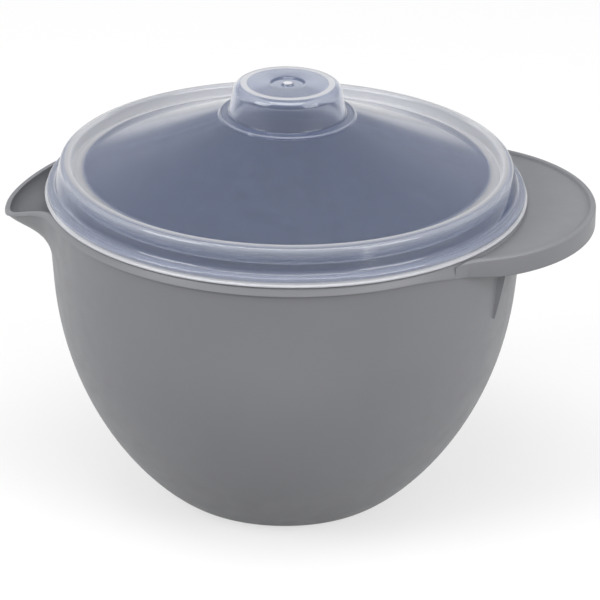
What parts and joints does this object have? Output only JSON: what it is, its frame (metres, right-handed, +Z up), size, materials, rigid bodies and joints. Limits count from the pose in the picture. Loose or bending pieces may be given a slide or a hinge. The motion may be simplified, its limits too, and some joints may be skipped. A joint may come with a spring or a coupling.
{
  "type": "microwave ramen cooker",
  "caption": "Deep round microwave bowl with a drooping pour spout, a flat tab handle and a clear conical lift-off lid with a hollow knob, for cooking instant noodles.",
  "frame": {"origin": "middle of the bowl's flat base, on the surface it stands on", "axes": "+Z up along the axis of the bowl and the lid, +X towards the tab handle, so the spout points along -X"},
  "size_m": [0.1975, 0.1616, 0.1445],
  "materials": {
    "bowl_plastic": "satin moulded grey",
    "lid_plastic": "translucent bluish"
  },
  "bodies": {
    "bowl": {"bowl": "bowl_plastic"},
    "lid": {"lid": "lid_plastic"}
  },
  "joints": [
    {"name": "lid_lift", "type": "slide", "parent": "bowl", "child": "lid", "axis": [0, 0, 1], "range_m": [0, 0.12]}
  ]
}
